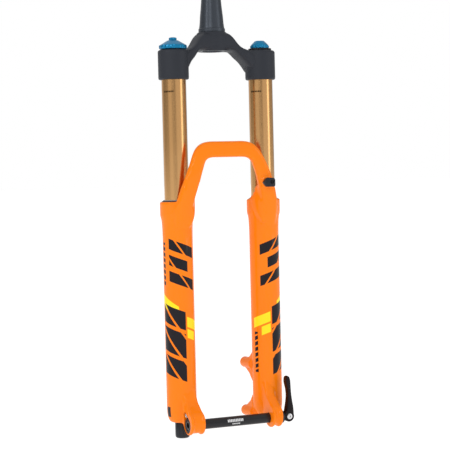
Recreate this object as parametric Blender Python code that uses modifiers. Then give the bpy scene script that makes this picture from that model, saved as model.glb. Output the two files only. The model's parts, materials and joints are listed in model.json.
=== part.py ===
"""Air-sprung telescopic bicycle fork with a single crown, for a 29 inch wheel.

Frame: the origin is the crown race seat on the steerer's axis, +Z runs up the steerer,
the front of the fork faces -Y and +X is the rider's left.
Sizes below are millimetres; MM turns them into metres where a shape is made.
"""

import math

import bmesh
import bpy
from mathutils import Matrix, Vector

MM = 0.001

# Driving dimensions
TRAVEL = 170.0
AXLE_TO_CROWN = 577.0
LEG_X = 70.5  # half of the distance between the two stanchions
CROWN_OFFSET = 17.0  # the stanchions stand this far in front of the steerer's axis
AXLE_OFFSET = 51.0  # and the axle this far
STANCHION_R = 18.0
STANCHION_WALL = 2.5
HUB_WIDTH = 110.0
AXLE_R = 7.5
STEERER_TOP_R = 14.3
STEERER_LENGTH = 215.0
LEG_R = 22.15
GAP = 0.3  # clearance left between neighbouring solids

# Heights and places worked out from them
LEG_Y = -CROWN_OFFSET
AXLE_Y = -AXLE_OFFSET
AXLE_Z = -AXLE_TO_CROWN
BOSS_R = 22.5
BOSS_TOP = -28.0
BOSS_BOTTOM = -72.0
CROWN_UNDER = -29.0
WIPER_TOP = -248.0
COLLAR_TOP = -250.5
COLLAR_R = 25.0
LEG_FLOOR = -566.0
LEG_FOOT = -576.0
STANCHION_TOP = -30.3
STANCHION_END = LEG_FLOOR + TRAVEL + 4.0  # clears the leg's floor with the travel used up
PISTON_Z = -365.0
HUB_X = HUB_WIDTH / 2
DROPOUT_OUT = 71.0  # outer face of the left dropout, under the lever
NUT_SIDE_OUT = 77.0  # and of the right one, which holds the nut
PIVOT_X = 87.0

# Colours, linear
ORANGE = (1.0, 0.22, 0.006)
GOLD = (0.52, 0.28, 0.07)
CROWN_GREY = (0.033, 0.036, 0.042)
BLUE = (0.01, 0.34, 0.75)
BLACK = (0.012, 0.012, 0.014)
STEEL = (0.62, 0.62, 0.63)
ALUMINIUM = (0.75, 0.75, 0.76)
RUBBER = (0.02, 0.02, 0.022)
FOAM = (0.35, 0.33, 0.28)
BUSHING = (0.20, 0.28, 0.22)
SPACER_BLUE = (0.03, 0.18, 0.5)


for old in list(bpy.data.objects):
    bpy.data.objects.remove(old, do_unlink=True)
scene = bpy.context.scene
parts = bpy.data.collections.new("suspension_fork")
cutters = bpy.data.collections.new("cutters")
scene.collection.children.link(parts)
scene.collection.children.link(cutters)


def material(name, colour, roughness, metallic):
    mat = bpy.data.materials.get(name) or bpy.data.materials.new(name)
    mat.use_nodes = True
    shader = mat.node_tree.nodes["Principled BSDF"]
    shader.inputs["Base Color"].default_value = (*colour, 1.0)
    shader.inputs["Roughness"].default_value = roughness
    shader.inputs["Metallic"].default_value = metallic
    mat.diffuse_color = (*colour, 1.0)
    return mat


def add(name, mesh, place=(0, 0, 0), turn=None):
    """A new object in the parts collection, at a place in millimetres."""
    thing = bpy.data.objects.new(name, mesh)
    parts.objects.link(thing)
    thing.matrix_world = Matrix.Translation(Vector(place) * MM) @ (turn or Matrix.Identity(4))
    return thing


ALONG_X = Matrix.Rotation(math.radians(90), 4, "Y")
ALONG_Y = Matrix.Rotation(math.radians(-90), 4, "X")
FACING_FRONT = Matrix.Rotation(math.radians(90), 4, "X")


def turned(name, profile, place=(0, 0, 0), turn=None, sides=28):
    """Spin a profile of (radius, height) pairs, given down its outer side, into a solid.

    A profile that starts and ends on the axis is a plain turned bar. Any other is closed
    into a ring section, so its inner side has to run back up.
    """
    mesh = bpy.data.meshes.new(name)
    points = [(r * MM, 0, z * MM) for r, z in profile]
    solid = profile[0][0] == 0 and profile[-1][0] == 0
    edges = [(i, i + 1) for i in range(len(points) - 1)]
    if not solid:
        edges.append((len(points) - 1, 0))
    mesh.from_pydata(points, edges, [])
    thing = add(name, mesh, place, turn)
    screw = thing.modifiers.new("spin", "SCREW")
    screw.steps = screw.render_steps = sides
    screw.use_merge_vertices = True
    screw.merge_threshold = 1e-6
    return thing


def ring(name, r_in, r_out, low, high, **where):
    return turned(name, [(r_out, high), (r_out, low), (r_in, low), (r_in, high)], **where)


def bar(name, radius, low, high, **where):
    return turned(name, [(0, high), (radius, high), (radius, low), (0, low)], **where)


PLANES = {
    "xy": Matrix.Identity(4),
    "xz": Matrix(((1, 0, 0, 0), (0, 0, -1, 0), (0, 1, 0, 0), (0, 0, 0, 1))),
    "yz": Matrix(((0, 0, 1, 0), (1, 0, 0, 0), (0, 1, 0, 0), (0, 0, 0, 1))),
}


def plate(name, outline, plane, low, high, *holes):
    """A flat outline pushed through from low to high along the axis its plane leaves out.

    Holes are further outlines, left open inside the first.
    """
    curve = bpy.data.curves.new(name, "CURVE")
    curve.dimensions = "2D"
    curve.fill_mode = "BOTH"
    curve.extrude = abs(high - low) / 2 * MM
    for closed in (outline, *holes):
        spline = curve.splines.new("POLY")
        spline.points.add(len(closed) - 1)
        for point, (a, b) in zip(spline.points, closed):
            point.co = (a * MM, b * MM, 0, 1)
        spline.use_cyclic_u = True
    middle = (low + high) / 2
    centre = {"xy": (0, 0, middle), "xz": (0, middle, 0), "yz": (middle, 0, 0)}[plane]
    drawn = add(name + "_outline", curve, centre, PLANES[plane])
    bpy.context.view_layer.update()
    depsgraph = bpy.context.evaluated_depsgraph_get()
    mesh = bpy.data.meshes.new_from_object(drawn.evaluated_get(depsgraph))
    bm = bmesh.new()
    bm.from_mesh(mesh)
    bmesh.ops.remove_doubles(bm, verts=bm.verts, dist=1e-6)
    bmesh.ops.recalc_face_normals(bm, faces=bm.faces)
    bm.to_mesh(mesh)
    bm.free()
    thing = add(name, mesh)
    thing.matrix_world = drawn.matrix_world
    bpy.data.objects.remove(drawn, do_unlink=True)
    return thing


def mirrored(half):
    """The whole closed outline from its right half, listed from the centre line round to it."""
    return half + [(-a, b) for a, b in reversed(half) if a != 0]


def arc(centre, radius, start, end, steps):
    """Points round part of a circle, in degrees anticlockwise."""
    turns = [math.radians(start + (end - start) * i / steps) for i in range(steps + 1)]
    return [(centre[0] + radius * math.cos(t), centre[1] + radius * math.sin(t)) for t in turns]


def shape_with(thing, tool, operation):
    """Cut, join or keep the overlap with a tool, which leaves the parts for the cutters."""
    parts.objects.unlink(tool)
    cutters.objects.link(tool)
    tool.hide_render = True
    tool.display_type = "WIRE"
    step = thing.modifiers.new(operation.lower(), "BOOLEAN")
    step.operation = operation
    step.object = tool
    return thing


def cut(thing, *tools):
    for tool in tools:
        shape_with(thing, tool, "DIFFERENCE")
    return thing


def join(thing, *tools):
    for tool in tools:
        shape_with(thing, tool, "UNION")
    return thing


def finish(thing, mat):
    for old in list(thing.data.materials):
        thing.data.materials.pop()
    thing.data.materials.append(mat)
    return thing


PAINT = material("orange_paint", ORANGE, 0.25, 0.0)
GOLD_COAT = material("gold_coat", GOLD, 0.25, 1.0)
GREY_ANODISE = material("grey_anodise", CROWN_GREY, 0.4, 0.6)
BLUE_ANODISE = material("blue_anodise", BLUE, 0.3, 0.9)
BLACK_ANODISE = material("black_anodise", BLACK, 0.35, 0.6)
BRIGHT_STEEL = material("bright_steel", STEEL, 0.25, 1.0)
BARE_ALUMINIUM = material("bare_aluminium", ALUMINIUM, 0.3, 1.0)
BLACK_RUBBER = material("black_rubber", RUBBER, 0.7, 0.0)
OILED_FOAM = material("oiled_foam", FOAM, 0.9, 0.0)
BUSHING_COAT = material("bushing_coat", BUSHING, 0.4, 0.5)
BLUE_PLASTIC = material("blue_plastic", SPACER_BLUE, 0.45, 0.0)
BLACK_PLASTIC = material("black_plastic", BLACK, 0.45, 0.0)

SIDES = {"right": -LEG_X, "left": LEG_X}  # the rider's right and left


def leg_axis(side, z=0.0):
    return (SIDES[side], LEG_Y, z)


# ---------------------------------------------------------------- crown and steerer

SEAT_R = 19.9  # crown race seat
BORE_R = 20.2  # the crown's hole for the steerer


def make_steerer():
    """Tapered steerer: the race seat, the taper, then the straight part for the stem."""
    taper = [(19.05, 5.0), (18.05, 12.0), (17.25, 24.0), (15.85, 36.0), (14.8, 48.0)]
    outer = [(STEERER_TOP_R, STEERER_LENGTH), (STEERER_TOP_R, 54.0), *reversed(taper),
             (SEAT_R, 5.0), (SEAT_R, CROWN_UNDER + 0.6)]
    inner = [(16.2, CROWN_UNDER + 0.6), (14.2, CROWN_UNDER + 4.0), (12.0, 60.0),
             (12.0, STEERER_LENGTH)]
    finish(turned("steerer_tube", outer + inner, sides=32), GREY_ANODISE)


def make_crown():
    """Forged crown: two arms rising from the stanchion bosses to the steerer's bore."""
    front = mirrored([(0, 0), (19, 0), (23, -3), (29.5, -12.5), (34.5, -19), (41, -23.5),
                      (50, -27), (58, BOSS_TOP - 0.4), (80, BOSS_TOP - 0.4), (80, -62),
                      (53, -60), (49.5, -54), (44.5, -47), (37.4, -39.3), (30.8, -32.5),
                      (25, CROWN_UNDER), (0, CROWN_UNDER)])
    plan = mirrored([(0, -25), (16, -23.5), (30, -23), (40, -26), (52, -32.5), (62, -37.3),
                     (66, -36), (66, 2), (61, 4.5), (46, 8), (32, 14), (22, 21), (12, 25),
                     (0, 26)])
    arms = plate("crown_arms", front, "xz", -45, 35)
    shape_with(arms, plate("crown_plan", plan, "xy", -80, 10), "INTERSECT")
    cut(arms, bar("crown_steerer_bore", BORE_R, -60, 20))
    chamfer = 1.2
    profile = [(0, BOSS_TOP), (BOSS_R - chamfer, BOSS_TOP), (BOSS_R, BOSS_TOP - chamfer),
               (BOSS_R, BOSS_BOTTOM + chamfer), (BOSS_R - chamfer, BOSS_BOTTOM),
               (0, BOSS_BOTTOM)]
    crown = turned("crown", profile, place=leg_axis("right"))
    join(crown, arms, turned("crown_boss_left", profile, place=leg_axis("left")))
    for side in SIDES:
        cut(crown, bar("crown_bore_" + side, STANCHION_R + GAP, -80, -20, place=leg_axis(side)))
    finish(crown, GREY_ANODISE)


def make_stanchions():
    for side in SIDES:
        tube = ring("stanchion_" + side, STANCHION_R - STANCHION_WALL, STANCHION_R,
                    STANCHION_END, STANCHION_TOP, place=leg_axis(side), sides=32)
        finish(tube, GOLD_COAT)


# ---------------------------------------------------------------- damper, rider's right

CAP_BODY_R = STANCHION_R - STANCHION_WALL - GAP
DIAL_LOW = -27.3
CARTRIDGE_R = 12.0
CARTRIDGE_END = -372.0
SHAFT_R = 5.0


def make_damper():
    at = leg_axis("right")
    cap = [(0, -16.2), (5.2, -16.2), (5.2, -27.7), (17.8, -27.7), (17.8, STANCHION_TOP + GAP),
           (CAP_BODY_R, STANCHION_TOP + GAP), (CAP_BODY_R, -58), (0, -58)]
    finish(turned("damper_top_cap", cap, place=at), BLACK_ANODISE)

    dial = [(18.6, DIAL_LOW), (5.5, DIAL_LOW), (5.5, -14.6), (7.4, -14.2), (13.5, -17.8),
            (18.6, -21.0), (20.5, -22.5), (20.5, -26.2)]
    knob = turned("compression_dial", list(reversed(dial)), place=at)
    for lobe in range(3):
        angle = math.radians(-10 + 120 * lobe)
        x = at[0] + 23.2 * math.cos(angle)
        y = at[1] + 23.2 * math.sin(angle)
        cut(knob, bar(f"dial_scallop_{lobe}", 4.0, -30, -10, place=(x, y, 0), sides=24))
    finish(knob, BLUE_ANODISE)
    nub = [(0, -10.0), (5.6, -10.0), (7.0, -11.0), (7.0, -13.8), (5.0, -13.8), (5.0, -15.9),
           (0, -15.9)]
    finish(turned("compression_fine_knob", nub, place=at, sides=24), BLUE_ANODISE)

    tube = ring("damper_cartridge", CARTRIDGE_R - 1.2, CARTRIDGE_R, CARTRIDGE_END,
                -58 - GAP, place=at, sides=24)
    finish(tube, BARE_ALUMINIUM)
    finish(bar("compression_valve", CARTRIDGE_R - 1.5, -162, -150, place=at, sides=24), BRIGHT_STEEL)
    bladder = [(9.0, -62), (10.0, -70), (9.0, -80), (10.2, -95), (10.2, -125), (9.0, -146),
               (7.5, -146), (7.5, -62)]
    finish(turned("damper_bladder", bladder, place=at, sides=24), BLACK_RUBBER)
    seal = [(CAP_BODY_R, CARTRIDGE_END - GAP), (CAP_BODY_R, STANCHION_END + 3),
            (SHAFT_R + GAP, STANCHION_END + 3), (SHAFT_R + GAP, CARTRIDGE_END - GAP)]
    finish(turned("damper_seal_head", seal, place=at), BLACK_ANODISE)

    shaft = ring("damper_shaft", 2.5, SHAFT_R, LEG_FLOOR + GAP, PISTON_Z - 6.5,
                 place=at, sides=24)
    finish(shaft, BRIGHT_STEEL)
    finish(bar("damper_piston", CARTRIDGE_R - 1.5, PISTON_Z - 6.2, PISTON_Z + 3,
               place=at, sides=24), BRIGHT_STEEL)



# ---------------------------------------------------------------- air spring, rider's left

VALVE_R = 4.0


def make_air_spring():
    at = leg_axis("left")
    cap = [(17.5, -25.0), (17.5, STANCHION_TOP + GAP), (CAP_BODY_R, STANCHION_TOP + GAP),
           (CAP_BODY_R, -52), (VALVE_R + GAP, -52), (VALVE_R + GAP, -27.5), (12.5, -27.5),
           (12.5, -25.0)]
    body = turned("air_top_cap", cap, place=at, sides=32)
    for notch in range(8):
        angle = math.radians(20 + 45 * notch)
        x = at[0] + 17.5 * math.cos(angle)
        y = at[1] + 17.5 * math.sin(angle)
        cut(body, bar(f"cap_notch_{notch}", 2.4, -27.2, -20, place=(x, y, 0), sides=12))
    finish(body, BLACK_ANODISE)

    valve = [(VALVE_R, -19.0), (VALVE_R, -56), (2.6, -56), (1.9, -52), (1.9, -24), (2.6, -19.0)]
    finish(turned("valve_body", valve, place=at, sides=24), BRIGHT_STEEL)
    pin = [(0, -20.0), (0.9, -20.0), (0.9, -53), (1.6, -53.4), (1.6, -55), (0, -55)]
    finish(turned("valve_core_pin", pin, place=at, sides=16), BRIGHT_STEEL)

    dome = [(5.5, -13.4), (7.2, -13.8), (12.6, -19.4), (14.2, -21.4), (14.2, -24.2), (12.1, -24.6),
            (12.1, -27.2), (4.6, -27.2), (4.6, -17.4), (0, -17.4)]
    finish(turned("air_cap", [(0, -13.4), *dome], place=at, sides=24), BLUE_ANODISE)

    for number in range(3):
        high = -57.0 - 9.5 * number
        spacer = [(14.0, high), (14.0, high - 6), (9.0, high - 9), (6.0, high - 9), (6.0, high)]
        finish(turned(f"volume_spacer_{number + 1}", spacer, place=at, sides=24), BLUE_PLASTIC)

    shaft = ring("air_shaft", 2.5, SHAFT_R, LEG_FLOOR + GAP, PISTON_Z - 6.5, place=at, sides=24)
    finish(shaft, BARE_ALUMINIUM)
    piston = [(0, PISTON_Z + 5), (12.0, PISTON_Z + 5), (CAP_BODY_R, PISTON_Z + 3),
              (CAP_BODY_R, PISTON_Z - 5), (12.0, PISTON_Z - 6.2), (0, PISTON_Z - 6.2)]
    finish(turned("air_piston", piston, place=at, sides=24), BLACK_PLASTIC)
    bumper = ring("top_out_bumper", SHAFT_R + GAP, 12.0, PISTON_Z - 12, PISTON_Z - 6.5,
                  place=at, sides=24)
    finish(bumper, BLACK_RUBBER)
    head = [(CAP_BODY_R, PISTON_Z - 12.3), (CAP_BODY_R, STANCHION_END + 4),
            (SHAFT_R + GAP, STANCHION_END + 4), (SHAFT_R + GAP, PISTON_Z - 12.3)]
    finish(turned("air_seal_head", head, place=at), BLACK_PLASTIC)
    circlip = ring("seal_head_circlip", 12.5, CAP_BODY_R, STANCHION_END + 2.2,
                   STANCHION_END + 3.7, place=at, sides=24)
    finish(circlip, BRIGHT_STEEL)


# ---------------------------------------------------------------- lower leg casting

BOLT_R = 4.0
POCKET_R = 22.8
FOAM_R = 21.5
BORE_LEG_R = 20.0  # where the bushings sit
LOW_BORE_R = 18.8  # below them
EYE_Y, EYE_Z, EYE_R = -53.0, -573.8, 17.0  # the dropout's eye, a little ahead of the axle
POST_X = 54.0
POST_FACE_Y = 28.0
POST_UPPER_Z = -501.0
POST_LOWER_Z = -575.0
NUT_SLOT_DEPTH = 6.0
NUT_R = 11.4
KEEPER_Y, KEEPER_Z, KEEPER_R = -43.3, -563.0, 4.2


def leg_solid(side):
    """A leg with its bore: pockets for the wiper seal and the foam, then the bushings' seat."""
    outer = [(24.3, COLLAR_TOP), (COLLAR_R, COLLAR_TOP - 1.2), (COLLAR_R, -270), (23.2, -277),
             (22.4, -290), (LEG_R, -310), (LEG_R, -560), (21.2, -568), (18.5, -574),
             (15.5, LEG_FOOT)]
    bore = [(BOLT_R + 0.4, LEG_FOOT), (BOLT_R + 0.4, LEG_FLOOR), (LOW_BORE_R, LEG_FLOOR),
            (LOW_BORE_R, -378), (BORE_LEG_R, -376), (BORE_LEG_R, -268), (FOAM_R, -268),
            (FOAM_R, -262), (POCKET_R, -262), (POCKET_R, COLLAR_TOP)]
    return turned("leg_" + side, outer + bore, place=leg_axis(side))


def outside_bore(thing, *sides):
    """Trim an arm where it would reach into a leg's bore, inside the leg's wall."""
    room = [(0, -150), (24.4, -150), (24.4, -243), (23.6, -245), (23.6, -268.7),
            (21.1, -269.6), (21.1, -567.3), (0, -567.3)]
    for side in sides:
        cut(thing, turned(f"{thing.name}_room_{side}", room, place=leg_axis(side), sides=32))
    return thing


def arch_solid():
    """The brake arch: its outline from the front, kept to a leaning band seen from the side."""
    front = mirrored([(0, -163.5), (28, -163.5), (37, -165.5), (45, -169.5), (51, -176),
                      (57, -188), (62.7, -200), (68.5, -213.5), (73.5, -227), (78.5, -243),
                      (83, -258), (84, -272), (80, -290), (61, -290), (57.2, -272),
                      (54.3, -252), (51.4, -239), (47.8, -225.5), (44.6, -213), (41.6, -203),
                      (38.3, -194),
                      (34.5, -189.5), (29, -187.5), (22, -187), (0, -187)])
    side = [(-34.5, -160), (-48, -160), (-50.5, -172), (-54, -186), (-55.3, -198),
            (-55.3, -214), (-54, -234), (-50.5, -255), (-45.5, -272), (-39, -288), (-25, -288),
            (-18, -270), (-17, -258), (-20, -250), (-25, -243), (-33, -236), (-39, -228),
            (-42.5, -217), (-43, -207), (-42.5, -196), (-39.5, -186), (-35.5, -175)]
    arch = plate("brake_arch", front, "xz", -60, -20)
    shape_with(arch, plate("arch_side", side, "yz", -100, 100), "INTERSECT")
    return arch


def strut_flare(side):
    """Where a strut of the arch widens behind to meet the inner side of the collar."""
    sign = SIDES[side] / LEG_X
    plan = [(57, -44), (52, -41), (48, -33), (45.8, -24), (45.8, -18), (60, -18), (60, -44)]
    front = [(57, -226), (50.3, -231), (49.3, -238), (48.2, -244), (46.4, -250), (46.0, -258),
             (50, -273), (62, -273), (62, -226)]
    flare = plate("strut_flare_" + side, [(sign * x, y) for x, y in plan], "xy", -280, -200)
    return shape_with(flare, plate("flare_front_" + side, [(sign * x, z) for x, z in front],
                                   "xz", -60, 0), "INTERSECT")


def dropout_layers(side):
    """The eye round the axle with its web up to the leg, thicker outside than the hub face."""
    web = [*arc((EYE_Y, EYE_Z), EYE_R, 170, 325, 14), (-27, -573), (-16, -562), (-20, -530),
           (-37.5, -528), (-41, -538), (-47.5, -547), (-56, -554.5), (-64, -561)]
    axle_hole = arc((AXLE_Y, AXLE_Z), AXLE_R + GAP, 0, 347, 27)
    if side == "left":
        return [plate("dropout_left", web, "yz", HUB_X, DROPOUT_OUT, axle_hole)]
    # the outer face has a slot for the axle nut and its keeper, so it is a second layer
    dy, dz = KEEPER_Y - AXLE_Y, KEEPER_Z - AXLE_Z
    wide, narrow = NUT_R + 0.5, KEEPER_R + 0.6
    lean = math.degrees(math.atan2(dz, dy))
    tangent = math.degrees(math.acos((wide - narrow) / math.hypot(dy, dz)))
    slot = [*arc((AXLE_Y, AXLE_Z), wide, lean + tangent, lean + 360 - tangent, 18),
            *arc((KEEPER_Y, KEEPER_Z), narrow, lean - tangent, lean + tangent, 6)]
    floor = -NUT_SIDE_OUT + NUT_SLOT_DEPTH
    keeper_hole = arc((KEEPER_Y, KEEPER_Z), 1.9, 0, 337.5, 15)
    return [plate("dropout_right", web, "yz", floor, -HUB_X, axle_hole, keeper_hole),
            plate("dropout_slot", web, "yz", -NUT_SIDE_OUT, floor + 0.6, slot)]


def make_casting():
    casting = leg_solid("right")
    casting.name = "lower_casting"
    join(casting, outside_bore(arch_solid(), "right", "left"), leg_solid("left"))
    for side in SIDES:
        for arm in (strut_flare(side), *dropout_layers(side)):
            join(casting, outside_bore(arm, side))
    # post mounts for the brake, each with its own gusset to the leg
    for name, z in (("upper", POST_UPPER_Z), ("lower", POST_LOWER_Z)):
        post = bar("post_" + name, 8.3, -POST_FACE_Y, 10.0, place=(POST_X, 0, z),
                   turn=FACING_FRONT, sides=24)
        join(casting, outside_bore(post, "left"))
    tip = POST_FACE_Y - 4
    gussets = {"upper": [(-8, POST_UPPER_Z + 17), (4, POST_UPPER_Z + 10), (tip, POST_UPPER_Z + 5),
                         (tip, POST_UPPER_Z - 5), (4, POST_UPPER_Z - 14),
                         (-8, POST_UPPER_Z - 25)],
               "lower": [(-8, POST_LOWER_Z + 28), (3, POST_LOWER_Z + 16), (tip, POST_LOWER_Z + 5),
                         (tip, POST_LOWER_Z - 5), (-8, POST_LOWER_Z + 1.5)]}
    for name, outline in gussets.items():
        gusset = plate("post_gusset_" + name, outline, "yz", POST_X - 4, POST_X + 6)
        join(casting, outside_bore(gusset, "left"))
    for name, z in (("upper", POST_UPPER_Z), ("lower", POST_LOWER_Z)):
        cut(casting, bar("post_hole_" + name, 2.6, -40, -8, place=(POST_X, 0, z),
                         turn=FACING_FRONT, sides=20))
    # pad for the brake hose guide, on the left strut
    join(casting, plate("hose_pad", [(52.5, -218), (68.5, -219), (69.5, -232), (53, -233)],
                        "xz", -57.0, -46))
    finish(casting, PAINT)


def make_leg_fittings():
    for side in SIDES:
        at = leg_axis(side)
        seal = [(21.6, WIPER_TOP - 1.6), (22.5, COLLAR_TOP - 0.4), (22.5, -261.7),
                (STANCHION_R + GAP, -261.7), (STANCHION_R + GAP, WIPER_TOP), (20.2, WIPER_TOP)]
        finish(turned("wiper_seal_" + side, seal, place=at, sides=32), BLACK_RUBBER)
        foam = ring("foam_ring_" + side, STANCHION_R + GAP, FOAM_R - GAP, -267.7, -262.3,
                    place=at, sides=24)
        finish(foam, OILED_FOAM)
        for name, high in (("upper", -269.0), ("lower", -360.0)):
            bushing = ring(f"{name}_bushing_{side}", STANCHION_R + GAP, BORE_LEG_R - GAP,
                           high - 14.0, high, place=at, sides=24)
            finish(bushing, BUSHING_COAT)
        washer = ring("crush_washer_" + side, BOLT_R + 0.4, 7.5, LEG_FOOT - 1.6, LEG_FOOT - GAP,
                      place=at, sides=24)
        finish(washer, BARE_ALUMINIUM)
    bumper = ring("bottom_out_bumper", SHAFT_R + GAP, 14.0, LEG_FLOOR + GAP, LEG_FLOOR + 3.4,
                  place=leg_axis("left"), sides=24)
    finish(bumper, BLACK_RUBBER)
    # bolts that pull the two shafts down against the legs' floors
    nut_low = LEG_FOOT - 6.5
    for name, side in (("air_foot_nut", "left"), ("damper_foot_nut", "right")):
        profile = [(2.2, LEG_FLOOR + 6), (2.2, LEG_FLOOR - GAP), (BOLT_R, LEG_FLOOR - 0.6),
                   (BOLT_R, LEG_FOOT - 1.9), (6.8, LEG_FOOT - 1.9), (6.8, nut_low)]
        closed = [(0, LEG_FLOOR + 6), *profile, (0, nut_low)]
        finish(turned(name, closed, place=leg_axis(side), sides=24), BLACK_ANODISE)


def make_rebound():
    at = leg_axis("right")
    top = LEG_FOOT - 6.8
    knob = [(0, top), (8.4, top), (8.4, top - 8.5), (7.4, top - 10), (0, top - 10)]
    dial = turned("rebound_knob", knob, place=at, sides=24)
    finish(dial, BLUE_ANODISE)
    cover = [(10.75, LEG_FOOT - GAP), (10.75, -596.5), (9.5, -600.0), (0, -600.0), (0, -598.2),
             (9.0, -598.2), (9.0, LEG_FOOT - GAP)]
    finish(turned_cup("rebound_cover", cover, at), BLACK_PLASTIC)


def turned_cup(name, profile, at):
    """A cup open at the top: its profile touches the axis only under its floor."""
    mesh = bpy.data.meshes.new(name)
    count = len(profile)
    floor = next(i for i, (r, z) in enumerate(profile) if r == 0)
    order = [(i, i + 1) for i in range(count - 1) if i != floor] + [(count - 1, 0)]
    mesh.from_pydata([(r * MM, 0, z * MM) for r, z in profile], order, [])
    thing = add(name, mesh, at)
    screw = thing.modifiers.new("spin", "SCREW")
    screw.steps = screw.render_steps = 32
    screw.use_merge_vertices = True
    screw.merge_threshold = 1e-6
    return thing


def make_hose_guide():
    guide = plate("hose_guide", [(53, -218.5), (69, -219.5), (69.5, -231.5), (53.5, -232.5)], "xz",
                  -62.5, -57.3)
    cut(guide, bar("hose_groove", 3.0, -30, 30, place=(58.0, -63.5, -226)))
    cut(guide, bar("guide_hole", 1.9, -70, -50, place=(65.0, 0, -225.5), turn=ALONG_Y, sides=16))
    finish(guide, BLACK_PLASTIC)
    screw = [(0, 3.0), (3.0, 3.0), (3.0, GAP), (1.6, GAP), (1.6, -4.9), (0, -4.9)]
    finish(turned("hose_guide_screw", screw, place=(65.0, -62.5, -225.5), turn=FACING_FRONT,
                  sides=16), BRIGHT_STEEL)


def make_axle_nut():
    """The threaded nut for the axle's end, held against turning by a small keeper plate."""
    at = (0, AXLE_Y, AXLE_Z)
    low, high = -NUT_SIDE_OUT + 1.0, -NUT_SIDE_OUT + NUT_SLOT_DEPTH - GAP
    nut = ring("axle_nut", AXLE_R + GAP, NUT_R, low, high, place=at, turn=ALONG_X)
    finish(nut, BLACK_ANODISE)
    where = {"place": (0, KEEPER_Y, KEEPER_Z), "turn": ALONG_X}
    keeper = bar("axle_nut_keeper", KEEPER_R, low + 1.2, high, sides=24, **where)
    cut(keeper, bar("keeper_bore", 2.0, -90, -60, sides=16, **where))
    finish(keeper, BRIGHT_STEEL)
    screw = [(0, high + 4), (1.5, high + 4), (1.5, low + 0.9), (3.0, low + 0.9),
             (3.0, low - 0.6), (0, low - 0.6)]
    finish(turned("keeper_screw", screw, sides=16, **where), BRIGHT_STEEL)


# ---------------------------------------------------------------- through axle and lever

LEVER_HALF = 6.0
LEVER_R = 8.2
FORK_HALF = 3.4
PIN_R = 3.0


def make_axle():
    at = (0, AXLE_Y, AXLE_Z)
    washer = ring("axle_washer", AXLE_R + GAP, 10.0, DROPOUT_OUT + GAP, DROPOUT_OUT + 1.6,
                  place=at, turn=ALONG_X)
    finish(washer, BARE_ALUMINIUM)
    base_face = PIVOT_X - LEVER_R - GAP
    follower = [(8.0, base_face), (10.0, base_face - 2.0), (10.0, DROPOUT_OUT + 1.9),
                (AXLE_R + GAP, DROPOUT_OUT + 1.9), (AXLE_R + GAP, base_face)]
    finish(turned("cam_follower", follower, place=at, turn=ALONG_X), BLACK_PLASTIC)
    axle = turned("axle_shaft", [(0, base_face), (AXLE_R, base_face),
                                 (AXLE_R, -NUT_SIDE_OUT + 1.2), (0, -NUT_SIDE_OUT + 1.2)],
                  place=at, turn=ALONG_X)
    tongue = [(60, AXLE_Z - 5.0), *arc((PIVOT_X, AXLE_Z), 5.0, -90, 90, 10), (60, AXLE_Z + 5.0)]
    join(axle, plate("axle_tongue", tongue, "xz", AXLE_Y - FORK_HALF + 0.4,
                     AXLE_Y + FORK_HALF - 0.4))
    cut(axle, bar("tongue_hole", PIN_R + 0.3, -80, -20, place=(PIVOT_X, 0, AXLE_Z),
                  turn=ALONG_Y, sides=24))
    finish(axle, BLACK_ANODISE)
    pin = bar("lever_pivot_pin", PIN_R, -LEVER_HALF - 0.8, LEVER_HALF + 0.8,
              place=(PIVOT_X, AXLE_Y, AXLE_Z), turn=ALONG_Y, sides=24)
    finish(pin, BRIGHT_STEEL)


def make_lever():
    base = arc((PIVOT_X, AXLE_Z), LEVER_R, 128, 402, 22)
    outline = [*base, (94.6, -564), (92.9, -554), (91.6, -545), (90.7, -535), (90.3, -527),
               (89.2, -521.5), (87.2, -518.0), (85.4, -518.0), (83.9, -521.5), (83.7, -527),
               (85.2, -533), (86.0, -543), (85.4, -553), (83.6, -563)]
    lever = plate("qr_lever", outline, "xz", AXLE_Y - LEVER_HALF, AXLE_Y + LEVER_HALF)
    slot = [(76, AXLE_Z - 12), (104, AXLE_Z - 12), (104, AXLE_Z + 2.5),
            (PIVOT_X + 6.4, AXLE_Z + 4.5), (PIVOT_X + 4.5, AXLE_Z + 6.4), (76, AXLE_Z + 6.4)]
    cut(lever, plate("lever_slot", slot, "xz", AXLE_Y - FORK_HALF, AXLE_Y + FORK_HALF))
    cut(lever, bar("lever_hole", PIN_R + 0.3, -80, -20, place=(PIVOT_X, 0, AXLE_Z),
                   turn=ALONG_Y, sides=24))
    finish(lever, BLACK_ANODISE)


make_steerer()
make_crown()
make_stanchions()
make_damper()
make_air_spring()
make_casting()
make_leg_fittings()
make_rebound()
make_hose_guide()
make_axle_nut()
make_axle()
make_lever()
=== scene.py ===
# %% [markdown]
# # A bicycle suspension fork
# The working model, with its joints and true sizes, is loaded first and never changed. Every
# piece made below stands where one of its plain solids lies, and moves with the same body.

# %% The frame, and a few places read from it
import json
import math

import bpy
import numpy as np
from mathutils import Matrix, Vector


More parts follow.
